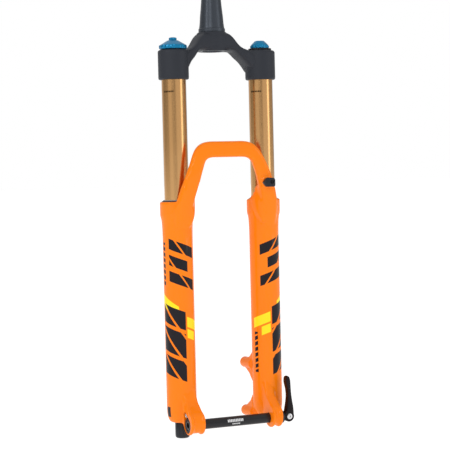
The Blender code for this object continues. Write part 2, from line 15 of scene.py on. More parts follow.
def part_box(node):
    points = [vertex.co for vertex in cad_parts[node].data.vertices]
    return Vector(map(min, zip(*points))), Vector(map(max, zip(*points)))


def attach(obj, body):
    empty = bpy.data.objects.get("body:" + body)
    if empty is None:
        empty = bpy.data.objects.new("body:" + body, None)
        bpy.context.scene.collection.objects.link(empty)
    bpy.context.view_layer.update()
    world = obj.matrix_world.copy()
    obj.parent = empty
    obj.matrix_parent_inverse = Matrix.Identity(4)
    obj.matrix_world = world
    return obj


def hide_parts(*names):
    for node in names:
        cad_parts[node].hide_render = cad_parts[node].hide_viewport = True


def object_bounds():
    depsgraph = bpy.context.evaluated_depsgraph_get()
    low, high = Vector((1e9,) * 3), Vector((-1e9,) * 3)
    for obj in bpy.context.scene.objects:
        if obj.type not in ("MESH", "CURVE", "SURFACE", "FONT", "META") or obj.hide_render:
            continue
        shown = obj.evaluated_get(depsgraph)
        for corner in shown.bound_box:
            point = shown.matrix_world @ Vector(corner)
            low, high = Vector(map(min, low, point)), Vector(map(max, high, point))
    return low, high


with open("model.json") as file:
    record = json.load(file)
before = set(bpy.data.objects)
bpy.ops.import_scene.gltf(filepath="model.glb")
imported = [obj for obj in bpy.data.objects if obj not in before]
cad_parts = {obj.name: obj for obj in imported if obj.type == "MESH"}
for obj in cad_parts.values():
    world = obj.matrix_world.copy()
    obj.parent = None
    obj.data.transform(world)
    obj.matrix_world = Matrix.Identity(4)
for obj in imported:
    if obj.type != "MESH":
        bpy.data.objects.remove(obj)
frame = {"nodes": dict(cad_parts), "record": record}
cad_box = [list(corner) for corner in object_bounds()]

MM = 0.001
SIDES = ("right", "left")  # the rider's


def span(node, axis):
    """The lowest and highest value of a solid along one axis, in millimetres."""
    low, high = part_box(node)
    index = "XYZ".index(axis)
    return low[index] / MM, high[index] / MM


def middle(node, axis):
    return sum(span(node, axis)) / 2


LEG_X = middle("stanchion_left", "X")
LEG_Y = middle("stanchion_left", "Y")
AXLE_Y = middle("axle_shaft", "Y")
AXLE_Z = middle("axle_shaft", "Z")
TUBE_R = (span("stanchion_left", "X")[1] - span("stanchion_left", "X")[0]) / 2
CROWN_LOW = span("crown", "Z")[0]
LEGS = {"right": (-LEG_X, LEG_Y, 0), "left": (LEG_X, LEG_Y, 0)}
AXLE = (0, AXLE_Y, AXLE_Z)
print(f"legs {2 * LEG_X:.1f} mm apart, tubes {2 * TUBE_R:.1f} mm, axle at {AXLE_Z:.1f} mm")

# %% [markdown]
# ## Drawing tools
# Most parts of a fork come off a lathe, so the first tool draws a half-section by extruding a
# single corner from point to point and then spins it. The second rolls a flat grid into a tube
# whose section changes along its length, which suits forged and cast arms. Both leave the
# finished object at the origin with its place in its mesh.


# %% Selecting and finishing
def clear():
    if bpy.context.mode != "OBJECT":
        bpy.ops.object.mode_set(mode="OBJECT")
    bpy.ops.object.select_all(action="DESELECT")


def pick(*things):
    clear()
    for thing in things:
        thing.select_set(True)
    bpy.context.view_layer.objects.active = things[0]


def named(name):
    thing = bpy.context.object
    thing.name = thing.data.name = name
    return thing


def settle(thing):
    """Merge doubles, turn the faces outwards and put the place into the mesh."""
    pick(thing)
    bpy.ops.object.transform_apply(location=True, rotation=True, scale=True)
    bpy.ops.object.mode_set(mode="EDIT")
    bpy.ops.mesh.select_all(action="SELECT")
    bpy.ops.mesh.remove_doubles(threshold=1e-6)
    bpy.ops.mesh.normals_make_consistent(inside=False)
    bpy.ops.object.mode_set(mode="OBJECT")
    return thing


def modify(thing, kind, **values):
    pick(thing)
    step = thing.modifiers.new(kind.lower(), kind)
    for key, value in values.items():
        setattr(step, key, value)
    bpy.ops.object.modifier_apply(modifier=step.name)
    return thing


def soften(thing, width, segments=3, angle=30):
    """Break the edges, as a maker's tumbler or file does."""
    return modify(thing, "BEVEL", width=width * MM, segments=segments, limit_method="ANGLE",
                  angle_limit=math.radians(angle), use_clamp_overlap=True)


def smooth(thing, angle=35):
    """Shade smoothly, but keep edges sharper than the angle."""
    pick(thing)
    bpy.ops.object.shade_smooth_by_angle(angle=math.radians(angle))
    return thing


def cut(thing, *tools, operation="DIFFERENCE"):
    for tool in tools:
        modify(thing, "BOOLEAN", object=tool, operation=operation, solver="EXACT")
        bpy.data.objects.remove(tool, do_unlink=True)
    return thing


def join(*things):
    pick(*things)
    bpy.ops.object.join()
    return things[0]


# %% Turning, pushing through and rolling
DIRECTIONS = {"X": ((1, 0, 0), (0, 0, 1)), "Y": ((0, 1, 0), (1, 0, 0)), "Z": ((0, 0, 1), (1, 0, 0))}


def drawn(name, points):
    """Draw a line by extruding a single corner from point to point; edit mode stays on."""
    clear()
    bpy.ops.mesh.primitive_plane_add(size=MM)
    thing = named(name)
    bpy.ops.object.mode_set(mode="EDIT")
    bpy.ops.mesh.merge(type="CENTER")
    bpy.ops.transform.translate(value=points[0])
    for here, there in zip(points, points[1:]):
        bpy.ops.mesh.extrude_region_move(TRANSFORM_OT_translate={"value": there - here})
    bpy.ops.mesh.select_all(action="SELECT")
    return thing


def turned(name, profile, centre=(0, 0, 0), along="Z", steps=96):
    """Spin a half-section of (radius, distance along the axis) pairs, in millimetres."""
    axis, out = (Vector(v) for v in DIRECTIONS[along])
    centre = Vector(centre) * MM
    points = [centre + axis * a * MM + out * r * MM for r, a in profile]
    if profile[0][0] > 0 or profile[-1][0] > 0:
        points.append(points[0])
    thing = drawn(name, points)
    bpy.ops.mesh.spin(steps=steps, angle=2 * math.pi, center=centre, axis=axis)
    return settle(thing)


def bar(name, radius, low, high, **where):
    return turned(name, [(0, high), (radius, high), (radius, low), (0, low)], **where)


def ring(name, inner, outer, low, high, **where):
    return turned(name, [(outer, high), (outer, low), (inner, low), (inner, high)], **where)


FLAT = {"XY": lambda a, b, c: (a, b, c), "XZ": lambda a, b, c: (a, c, b),
        "YZ": lambda a, b, c: (c, a, b)}


def slab(name, outline, plane, low, high):
    """Draw a closed outline by extruding a corner round it, fill it and push it through."""
    lift = FLAT[plane]
    points = [Vector(lift(a, b, low)) * MM for a, b in outline]
    thing = drawn(name, points + points[:1])
    bpy.ops.mesh.remove_doubles(threshold=1e-6)
    bpy.ops.mesh.edge_face_add()
    push = Vector(lift(0, 0, high - low)) * MM
    bpy.ops.mesh.extrude_region_move(TRANSFORM_OT_translate={"value": push})
    return settle(thing)


def rolled(name, around, along, place):
    """Roll a grid into a tube: place(turn, distance), both from 0 to 1, gives each point."""
    clear()
    bpy.ops.mesh.primitive_grid_add(x_subdivisions=around, y_subdivisions=along, size=1)
    thing = named(name)
    for corner in thing.data.vertices:
        corner.co = Vector(place(corner.co.x + 0.5, corner.co.y + 0.5)) * MM
    bpy.ops.object.mode_set(mode="EDIT")
    bpy.ops.mesh.select_all(action="SELECT")
    bpy.ops.mesh.remove_doubles(threshold=1e-6)
    bpy.ops.mesh.fill_holes(sides=0)
    return settle(thing)


def arc(centre, radius, start, end, steps):
    turns = [math.radians(start + (end - start) * i / steps) for i in range(steps + 1)]
    return [(centre[0] + radius * math.cos(t), centre[1] + radius * math.sin(t)) for t in turns]


def spots(centre, radius, first, count):
    """Places set evenly round a centre, from a first angle in degrees."""
    angles = [math.radians(first + i * 360 / count) for i in range(count)]
    return [(centre[0] + radius * math.cos(t), centre[1] + radius * math.sin(t)) for t in angles]


def eased(points, at):
    """A smooth curve through (place, value) pairs, level where the values turn back."""
    xs = [p[0] for p in points]
    ys = [np.array(p[1], float) for p in points]
    at = min(max(at, xs[0]), xs[-1])
    i = max(0, min(len(xs) - 2, int(np.searchsorted(xs, at)) - 1))
    slopes = [(ys[k + 1] - ys[k]) / (xs[k + 1] - xs[k]) for k in range(len(xs) - 1)]
    first = slopes[i] if i == 0 else (slopes[i - 1] + slopes[i]) / 2
    last = slopes[i] if i == len(xs) - 2 else (slopes[i] + slopes[i + 1]) / 2
    h = xs[i + 1] - xs[i]
    t = (at - xs[i]) / h
    return ((2 * t**3 - 3 * t**2 + 1) * ys[i] + (t**3 - 2 * t**2 + t) * h * first
            + (3 * t**2 - 2 * t**3) * ys[i + 1] + (t**3 - t**2) * h * last)


def pillow(turn, squareness):
    """A point on a square with round corners: 2 is a circle, larger is squarer."""
    angle = 2 * math.pi * turn
    power = 2 / squareness
    a, b = math.cos(angle), math.sin(angle)
    return math.copysign(abs(a) ** power, a), math.copysign(abs(b) ** power, b)


# %% Handing a finished piece to its body
made = []


def fit(thing, body, finish, slot, *nodes):
    """Give a piece its finish, the body it moves with and the solids it stands for."""
    thing.data.materials.clear()
    thing.data.materials.append(finish)
    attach(thing, body)
    if nodes:
        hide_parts(*nodes)
    made.append(thing.name)
    print(f"{thing.name}: {len(thing.data.polygons)} faces on {body}")
    return thing


UPPER, LOWER = "upper_assembly", "lower_assembly"

# %% [markdown]
# ## Finishes
# Each finish is a small node tree on the object's own coordinates, so it stays put as the fork
# moves. The arithmetic for painted shapes is easier to read as functions that return sockets.


# %% Small tools for node trees
def add_node(tree, kind, **settings):
    """Add a node. Settings that name an input give its value; the others are its options."""
    node = tree.nodes.new("ShaderNode" + kind)
    for name, value in settings.items():
        words = name.replace("_", " ").title()
        if words in node.inputs:
            node.inputs[words].default_value = value
        else:
            setattr(node, name, value)
    return node


class Finish:
    """A material with its shader, and short ways to add nodes to it."""

    def __init__(self, name, colour, roughness, metallic=0.0):
        self.mat = bpy.data.materials.new(name)
        self.mat.use_nodes = True
        self.tree = self.mat.node_tree
        self.shader = self.tree.nodes["Principled BSDF"]
        self.set("Base Color", (*colour, 1))
        self.set("Roughness", roughness)
        self.set("Metallic", metallic)
        self.mat.diffuse_color = (*colour, 1)
        self.place = self.add("TexCoord").outputs["Object"]

    def add(self, kind, **settings):
        return add_node(self.tree, kind, **settings)

    def set(self, name, value):
        self.shader.inputs[name].default_value = value

    def link(self, source, name):
        self.tree.links.new(source, self.shader.inputs[name])

    def math(self, operation, *values):
        node = self.add("Math", operation=operation)
        for socket, value in zip(node.inputs, values):
            if isinstance(value, (int, float)):
                socket.default_value = value
            else:
                self.tree.links.new(value, socket)
        return node.outputs[0]

    def stretched(self, scale):
        node = self.add("Mapping", scale=scale)
        self.tree.links.new(self.place, node.inputs["Vector"])
        return node.outputs[0]

    def noise(self, scale, detail=3.0, stretch=None):
        node = self.add("TexNoise", scale=scale, detail=detail)
        where = self.stretched(stretch) if stretch else self.place
        self.tree.links.new(where, node.inputs["Vector"])
        return node.outputs["Fac"]

    def between(self, fac, low, high):
        node = self.add("MapRange", to_min=low, to_max=high)
        self.tree.links.new(fac, node.inputs["Value"])
        return node.outputs[0]

    def mix(self, fac, a, b):
        node = self.add("Mix", data_type="RGBA")
        for socket, value in ((node.inputs[0], fac), (node.inputs[6], a), (node.inputs[7], b)):
            if isinstance(value, tuple):
                socket.default_value = (*value, 1)
            elif isinstance(value, float):
                socket.default_value = value
            else:
                self.tree.links.new(value, socket)
        return node.outputs[2]

    def bump(self, height, strength, distance=0.0002):
        node = self.add("Bump", strength=strength, distance=distance)
        self.tree.links.new(height, node.inputs["Height"])
        self.link(node.outputs[0], "Normal")

    def inside(self, value, low, high):
        """One where a value lies between two others."""
        return self.math("COMPARE", value, (low + high) / 2, abs(high - low) / 2)

    def union(self, masks):
        total = masks[0]
        for mask in masks[1:]:
            total = self.math("MAXIMUM", total, mask)
        return total

    def split(self):
        node = self.add("SeparateXYZ")
        self.tree.links.new(self.place, node.inputs[0])
        return node.outputs

    def leg_wrap(self):
        """Degrees round the nearer leg from its front to its outer side, and the height in mm."""
        x, y, z = self.split()
        across = self.math("SUBTRACT", self.math("ABSOLUTE", x), LEG_X * MM)
        ahead = self.math("SUBTRACT", LEG_Y * MM, y)
        turn = self.math("DEGREES", self.math("ARCTAN2", across, ahead))
        return turn, self.math("MULTIPLY", z, 1 / MM), x


# %% [markdown]
# ## Gloss orange paint with its graphics
# The lower legs are cast magnesium, powder-coated and lacquered: a strong diffuse colour under
# a clear coat, with the faint ripple of sprayed lacquer. The graphics are plain slanted blocks
# and bars laid round each leg, so they are drawn in degrees round the leg and millimetres of
# height. A slanted shape is a box in coordinates that have been sheared first.


# %% Orange paint
def leg_graphics(look):
    turn, height, x = look.leg_wrap()
    climb = look.math("SUBTRACT", height, look.math("MULTIPLY", turn, 0.145))
    slash = look.math("SUBTRACT", height, look.math("MULTIPLY", turn, 0.55))
    wedge = look.math("SUBTRACT", height, look.math("MULTIPLY", turn, 0.25))

    def patch(low, high, first, last, across=climb):
        return look.math("MULTIPLY", look.inside(turn, first, last),
                         look.inside(across, low, high))

    def without(shape, *holes):
        for hole in holes:
            shape = look.math("MULTIPLY", shape, look.math("SUBTRACT", 1.0, hole))
        return shape

    bars = [patch(-328 + 23.5 * i, -312.5 + 23.5 * i, *turns)
               for i, turns in ((0, (-44, 60)), (-1, (-14, 60)), (-2, (-44, 60)))]
    bars = without(look.union(bars),
                      *(look.inside(slash, middle - 2, middle + 2) for middle in (-327, -366)))
    blocks = [patch(top - deep, top, -1, 98)
            for top, deep in ((-412, 27), (-444.5, 36), (-486, 28.5))]
    blocks = without(look.union(blocks), *(look.inside(slash, middle - 2.6, middle + 2.6)
                                       for middle in (-450, -488, -524)))
    ticks = look.inside(look.math("PINGPONG", climb, 4.2), 1.3, 4.2)
    fine = [look.math("MULTIPLY", ticks, patch(-373, -310, 80, 96, height)),
            look.math("MULTIPLY", ticks, patch(-511, -450, -76, -60, height)),
            look.math("MULTIPLY", look.math("LESS_THAN", x, 0.0),
                      patch(-567, -552, 72, 96, height))]
    stripes = [patch(-433.0, -418.2, -80, -7), patch(-449.0, -436.0, -43, -7),
               look.math("MULTIPLY", patch(-427.0, -410.0, 24, 115, wedge),
                         look.inside(height, -411.3, -380))]
    return look.union([bars, blocks] + fine), look.union(stripes)


def orange_paint():
    look = Finish("gloss_orange_paint", (1.0, 0.22, 0.002), 0.42)
    look.set("Coat Weight", 0.36)
    look.set("Coat Roughness", 0.05)
    look.set("Coat IOR", 1.45)
    look.set("Specular IOR Level", 0.06)
    black, yellow = leg_graphics(look)
    orange = look.mix(look.noise(9.0), (1.0, 0.205, 0.001), (1.0, 0.235, 0.003))
    striped = look.mix(yellow, orange, (1.0, 0.78, 0.015))
    ink = look.mix(look.noise(260.0), (0.006, 0.004, 0.007), (0.010, 0.008, 0.012))
    marked = look.mix(black, striped, ink)
    x, y, z = look.split()
    face = look.math("MULTIPLY", look.math("GREATER_THAN", y, (POST_FACE - 0.12) * MM),
                     look.math("LESS_THAN", z, -0.4))
    machined = look.mix(look.noise(90.0, 2.0, (1, 1, 40)), (0.62, 0.61, 0.60), (0.75, 0.74, 0.73))
    look.link(look.mix(face, marked, machined), "Base Color")
    look.link(face, "Metallic")
    ripple = look.noise(420.0, 2.0)
    look.bump(ripple, 0.05, 0.0001)
    return look.mat


POST_FACE = span("lower_casting", "Y")[1]
PAINT = orange_paint()

# %% [markdown]
# ## Gold-coated tubes
# The inner tubes are ground aluminium with a hard gold coat. Grinding leaves very fine rings
# round the tube, which blur reflections a little more up and down than round it. A short
# etched tick row sits under the crown.


# %% Gold coat
def gold_coat():
    look = Finish("gold_hard_coat", (0.50, 0.29, 0.095), 0.2, 1.0)
    rings = look.noise(60.0, 4.0, (1, 1, 90))
    cloud = look.noise(14.0)
    gold = look.mix(cloud, (0.60, 0.330, 0.130), (0.68, 0.385, 0.160))
    turn, height, x = look.leg_wrap()
    side = look.math("MULTIPLY", turn, look.math("SIGN", x))
    row = look.math("MULTIPLY", look.inside(height, -90.8, -88.4), look.inside(side, -78, -22))
    gaps = look.inside(look.math("PINGPONG", side, 4.0), 1.0, 4.0)
    serial = look.math("MULTIPLY", look.inside(height, -98.0, -84.5), look.inside(side, 56, 64))
    lines = look.inside(look.math("PINGPONG", height, 1.1), 0.35, 1.1)
    etched = look.union([look.math("MULTIPLY", row, gaps), look.math("MULTIPLY", serial, lines)])
    look.link(look.mix(etched, gold, (0.055, 0.03, 0.012)), "Base Color")
    look.link(look.between(rings, 0.16, 0.24), "Roughness")
    look.bump(rings, 0.03, 0.0001)
    return look.mat


GOLD = gold_coat()

# %% [markdown]
# ## Anodised and plain metals
# Anodising keeps the texture that the part had before its bath: bead-blasted on the crown,
# turned on the steerer and the knobs. So one function makes them all, from a colour, a
# roughness and the grain's stretch, with a paler rubbed tint where the grain stands proud.


# %% Metals
def metal(name, colour, roughness, metallic=1.0, grain=900.0, stretch=None, strength=0.08,
          change=0.12, coat=0.0):
    look = Finish(name, colour, roughness, metallic)
    look.set("Specular IOR Level", 0.22)
    texture = look.noise(grain, 4.0, stretch)
    drift = look.noise(22.0, 2.0)
    lower = tuple(c * (1 - change) for c in colour)
    upper = tuple(min(1.0, c * (1 + change)) for c in colour)
    fac = look.math("MULTIPLY_ADD", drift, 0.6, look.math("MULTIPLY", texture, 0.4))
    look.link(look.mix(fac, lower, upper), "Base Color")
    look.link(look.between(texture, roughness * 0.85, min(1.0, roughness * 1.2)), "Roughness")
    look.bump(texture, strength, 0.0001)
    if coat:
        look.set("Coat Weight", coat)
        look.set("Coat Roughness", 0.15)
    return look.mat


CROWN_GREY = metal("blasted_grey_anodise", (0.026, 0.029, 0.037), 0.50, 0.12, 1500.0, None, 0.10)
STEERER_GREY = metal("turned_grey_anodise", (0.055, 0.063, 0.076), 0.34, 0.6, 70.0, (1, 1, 60),
                     0.05)
BLUE = metal("bright_blue_anodise", (0.001, 0.19, 0.38), 0.30, 0.55, 800.0, None, 0.05, 0.10,
             0.2)
BLACK = metal("black_anodise", (0.009, 0.009, 0.011), 0.34, 0.2, 1200.0, None, 0.06)
STEEL = metal("bright_steel", (0.66, 0.66, 0.67), 0.22, 1.0, 80.0, (1, 60, 1), 0.04, 0.06)
ALUMINIUM = metal("machined_aluminium", (0.78, 0.78, 0.79), 0.28, 1.0, 90.0, (1, 1, 50), 0.04, 0.06)
LEVER_BLACK = metal("forged_black_anodise", (0.010, 0.007, 0.008), 0.26, 0.3, 700.0, None, 0.06)


# %% [markdown]
# ## Rubber, foam and moulded plastic
# Soft seals are matt with a fine bloom. Moulded plastic is smoother, with a low sheen and a
# faint spark-eroded grain from its mould. The foam ring is open-celled, so it gets pits, and
# the colour is darker in the pits as painted shade.


# %% Soft and moulded finishes
def moulded(name, colour, roughness, grain=1100.0, strength=0.12, change=0.15):
    look = Finish(name, colour, roughness)
    look.set("Specular IOR Level", 0.3)
    texture = look.noise(grain, 5.0)
    lower = tuple(c * (1 - change) for c in colour)
    upper = tuple(min(1.0, c * (1 + change)) for c in colour)
    look.link(look.mix(look.noise(40.0), lower, upper), "Base Color")
    look.link(look.between(texture, roughness * 0.9, min(1.0, roughness * 1.15)), "Roughness")
    look.bump(texture, strength, 0.00015)
    return look.mat


def foam():
    look = Finish("oiled_foam", (0.30, 0.27, 0.20), 0.8)
    cells = look.add("TexVoronoi", scale=1400.0)
    look.tree.links.new(look.place, cells.inputs["Vector"])
    pits = cells.outputs["Distance"]
    # painted shade: the colour is darkest where the pits are deepest
    look.link(look.mix(pits, (0.10, 0.09, 0.06), (0.36, 0.33, 0.25)), "Base Color")
    look.bump(pits, 0.5, 0.0003)
    return look.mat


RUBBER = moulded("black_seal_rubber", (0.022, 0.022, 0.024), 0.62)
GREY_RUBBER = moulded("grey_wiper_rubber", (0.30, 0.31, 0.33), 0.5)
PLASTIC = moulded("black_moulded_plastic", (0.014, 0.016, 0.021), 0.34, 900.0, 0.08)
BLUE_PLASTIC = moulded("blue_moulded_plastic", (0.03, 0.13, 0.42), 0.42)
BUSHING = moulded("bushing_coat", (0.16, 0.23, 0.18), 0.4)
FOAM = foam()
FINISHES = {"grey_anodise": CROWN_GREY, "steerer_grey": STEERER_GREY, "gold_coat": GOLD,
            "blue_anodise": BLUE, "black_anodise": BLACK, "bright_steel": STEEL,
            "bare_aluminium": ALUMINIUM, "black_rubber": RUBBER, "oiled_foam": FOAM,
            "bushing_coat": BUSHING, "blue_plastic": BLUE_PLASTIC, "black_plastic": PLASTIC,
            "orange_paint": PAINT}
for part in frame["record"]["subparts"]:
    node = frame["nodes"][part["node"]]
    node.data.materials.clear()
    node.data.materials.append(FINISHES[part["material_slot"]])
print(len(bpy.data.materials), "finishes made")

# %% [markdown]
# ## Steerer
# The steerer is a butted aluminium tube, turned on a lathe: a short seat for the headset's lower
# race, a swelling taper, then the straight part that the stem clamps. A spun half-section gives
# its true roundness. It is closed at the bottom by the crown and open at the top.

# %% Steerer tube
seat_r = 19.9
crown_under = -28.4
steerer_top = span("steerer_tube", "Z")[1]
steerer_outside = [(14.3, steerer_top - 0.4), (14.3, 56), (14.8, 48), (15.8, 36), (17.1, 24),
                   (17.9, 13), (18.6, 7.5), (19.05, 5.6), (19.5, 5.2), (seat_r, 4.9),
                   (seat_r, 0.9), (19.6, 0.5), (19.6, crown_under)]
steerer_inside = [(16.2, crown_under), (14.2, -25), (12.0, 60), (12.0, steerer_top - 0.5),
                  (12.5, steerer_top), (13.9, steerer_top)]
steerer = turned("steerer", steerer_outside + steerer_inside, steps=128)
smooth(steerer, 30)
fit(steerer, UPPER, STEERER_GREY, "steerer_grey", "steerer_tube")

# %% [markdown]
# ## Forged crown
# The crown is one forging: two round bosses that clamp the stanchions, and an arm that rises
# from each to a collar round the steerer. Bosses and collar are turned, and the arms are a
# rolled grid whose section follows the crown's height and depth. A voxel remesh melts them into
# one skin, as a forging die would, and the bores are cut last so that they stay crisp.

# %% Melting joined shapes into one skin
def melt(thing, size, rounds=6):
    modify(thing, "REMESH", mode="VOXEL", voxel_size=size * MM)
    return modify(thing, "SMOOTH", factor=0.5, iterations=rounds)


def true_up(thing, centre, profile, reach=0.6):
    """Bring skin that lies close to a turned profile back onto it."""
    heights = np.array([z for r, z in profile][::-1]) * MM
    radii = np.array([r for r, z in profile][::-1]) * MM
    points = np.empty(len(thing.data.vertices) * 3)
    thing.data.vertices.foreach_get("co", points)
    points = points.reshape(-1, 3)
    out = points[:, :2] - np.array(centre[:2]) * MM
    far = np.maximum(np.hypot(out[:, 0], out[:, 1]), 1e-9)
    want = np.interp(points[:, 2], heights, radii)
    near = (np.abs(far - want) < reach * MM) & (points[:, 2] > heights[0])
    near &= points[:, 2] < heights[-1]
    points[near, :2] += out[near] * (want[near] / far[near] - 1)[:, None]
    thing.data.vertices.foreach_set("co", points.ravel())
    thing.data.update()
    return thing


# %% Crown
boss_top = max(CROWN_LOW + 44, -28.0)
boss_side = [(22.5, boss_top - 3), (22.5, CROWN_LOW + 2.5)]
boss_profile = [(0, boss_top), (18.4, boss_top), (20.6, boss_top - 0.4), (21.9, boss_top - 1.4),
                *boss_side, (22.2, CROWN_LOW + 1.0), (21.3, CROWN_LOW), (0, CROWN_LOW)]
arm_edges = [  # X, then the top, the underside, the front and the back of the section
    (-64, (-33, -66, -35.0, 1.0)), (-58, (-31, -65, -34.5, 4.0)), (-53, (-28.5, -61, -32.5, 6.0)),
    (-49, (-27.0, -54, -30.5, 7.0)), (-44.5, (-25.2, -46.9, -28.0, 8.5)),
    (-41, (-23.5, -43, -26.5, 9.5)), (-37.4, (-21.0, -39.3, -25.2, 11)),
    (-33, (-16.5, -33.6, -24.0, 13.5)), (-29, (-11.0, -30.0, -23.5, 16)),
    (-25, (-6.0, -29.1, -23.5, 19)), (-20, (-2.0, -28.9, -23.8, 22)),
    (-12, (-1.0, -28.9, -24.5, 24.5)), (0, (-1.0, -28.9, -24.5, 25.5))]
arm_edges += [(-x, sides) for x, sides in reversed(arm_edges[:-1])]


def crown_arm(turn, share):
    x = -64 + 128 * share
    top, under, front, back = eased(arm_edges, x)
    a, b = pillow(turn, 3.4)
    return x, (front + back) / 2 + a * (back - front) / 2, (top + under) / 2 + b * (top - under) / 2


crown = rolled("crown_forging", 64, 90, crown_arm)
collar_profile = [(0, 0), (20.4, 0), (21.6, -0.6), (23.2, -3.0), (24.8, -7.5), (25.2, -26),
                  (24.2, -28.6), (0, -28.9)]
bosses = [turned("boss", boss_profile, LEGS[side], steps=128) for side in SIDES]
join(crown, turned("collar", collar_profile, steps=128), *bosses)
melt(crown, 0.85, 7)
for side in SIDES:
    true_up(crown, LEGS[side], boss_side)
for side in SIDES:
    cut(crown, bar("bore", TUBE_R + 0.12, -80, boss_top - 2.0, centre=LEGS[side], steps=128))
    cut(crown, bar("cap_bore", 17.9, -40, -20, centre=LEGS[side], steps=128))
cut(crown, bar("steerer_bore", seat_r + 0.1, -60, 20, steps=128))
smooth(crown, 40)
fit(crown, UPPER, CROWN_GREY, "grey_anodise", "crown")

# %% [markdown]
# ## Stanchions
# The two inner tubes are pressed into the crown. They carry the gold coat and its etched marks,
# so all that their mesh needs is roundness, a wall and a small bevel at the lower end.

# %% Stanchions
for side in SIDES:
    low, high = span("stanchion_" + side, "Z")
    tube = turned("stanchion_tube_" + side,
                  [(TUBE_R, high), (TUBE_R, low + 1), (TUBE_R - 0.8, low), (TUBE_R - 2.5, low),
                   (TUBE_R - 2.5, high)], LEGS[side], steps=128)
    fit(smooth(tube), UPPER, GOLD, "gold_coat", "stanchion_" + side)

# %% [markdown]
# ## Adjusters on the damper leg
# A black cap closes the tube. Over it sits a wide blue dial, dished like a bell with finger
# scallops, and in its middle a small knob with fine flutes. The scallops are cut with turned
# cutters set round the dial, and the flutes come from an outline whose radius rises and falls.


# %% Damper cap, dial and knob
def fluted(count, outer, depth, points=8):
    """A closed outline round zero whose radius dips count times."""
    outline = []
    for i in range(count * points):
        radius = outer - depth * (0.5 - 0.5 * math.cos(2 * math.pi * i / points))
        angle = 2 * math.pi * i / (count * points)
        outline.append((radius * math.cos(angle), radius * math.sin(angle)))
    return outline


def moved(outline, centre):
    return [(a + centre[0], b + centre[1]) for a, b in outline]


right_leg, left_leg = LEGS["right"], LEGS["left"]
cap = turned("damper_cap", [(0, -16.2), (4.9, -16.2), (5.2, -16.6), (5.2, -27.7), (17.3, -27.7),
                            (17.7, -28.1), (17.7, -30.0), (15.2, -30.0), (15.2, -58), (0, -58)],
             right_leg)
fit(smooth(cap), UPPER, BLACK, "black_anodise", "damper_top_cap")

dial = turned("compression_bell", [(5.5, -14.6), (5.9, -14.0), (8.5, -14.8), (12.5, -17.2),
                                   (17.0, -19.8), (20.0, -21.6), (20.5, -22.6), (20.5, -25.6),
                                   (19.8, -26.8), (18.4, -27.3), (5.5, -27.3)], right_leg)
scallop = [(0, -8), (3.6, -8), (3.6, -23.0), (2.6, -29), (0, -29)]
for spot in spots(right_leg, 22.6, 10, 9):
    cut(dial, turned("bite", scallop, (*spot, 0), steps=40))
smooth(soften(dial, 0.35, 2))
fit(dial, "compression_dial", BLUE, "blue_anodise", "compression_dial")

fine = slab("fine_adjuster", moved(fluted(14, 5.7, 0.5), right_leg), "XY", -13.8, -10.6)
soften(fine, 0.35, 2, 60)
stem = turned("fine_stem", [(0, -10.0), (3.6, -10.0), (4.6, -10.4), (4.9, -11), (5.0, -12),
                            (5.0, -15.9), (0, -15.9)], right_leg)
join(fine, stem)
fit(smooth(fine), "compression_fine_knob", BLUE, "blue_anodise", "compression_fine_knob")

# %% [markdown]
# ## Air cap
# The spring leg's cap is black with eight notches for its spanner. The blue cap over the valve
# is a low cone with a fluted rim, so that it can be undone by hand.

# %% Air spring cap and valve cap
air_top = turned("spring_cap", [(12.5, -25.4), (12.9, -25.0), (16.9, -25.0), (17.4, -25.5),
                                (17.4, -30.0), (15.2, -30.0), (15.2, -52), (4.3, -52),
                                (4.3, -27.5), (12.5, -27.5)], left_leg)
for spot in spots(left_leg, 17.6, 20, 8):
    cut(air_top, bar("bite", 2.2, -28.5, -20, steps=24, centre=(*spot, 0)))
smooth(soften(air_top, 0.2, 2))
fit(air_top, UPPER, BLACK, "black_anodise", "air_top_cap")

valve_cap = turned("valve_cap", [(0, -13.4), (6.4, -13.4), (7.3, -13.9), (12.4, -18.9),
                                 (13.2, -20.0), (13.2, -24.4), (12.1, -24.8), (12.1, -27.2),
                                 (4.6, -27.2), (4.6, -17.4), (0, -17.4)], left_leg)
rim = slab("rim", moved(fluted(16, 14.2, 1.2), left_leg), "XY", -24.2, -20.6)
soften(rim, 0.5, 2, 60)
cut(rim, bar("core", 12.6, -30, -10, centre=left_leg))
join(valve_cap, rim)
fit(smooth(valve_cap), "air_cap", BLUE, "blue_anodise", "air_cap")

# %% [markdown]
# ## Lower legs
# Both legs, the arch that braces them, the dropouts and the brake posts are a single casting.
# A founder draws it as simple solids with generous fillets, and it is built that way here:
# turned legs, an arch rolled from a changing section, dropouts pushed through from an outline,
# all melted together. The legs are then trued up, because they are turned after casting, and
# the bores, the slot and the threaded holes are machined last.

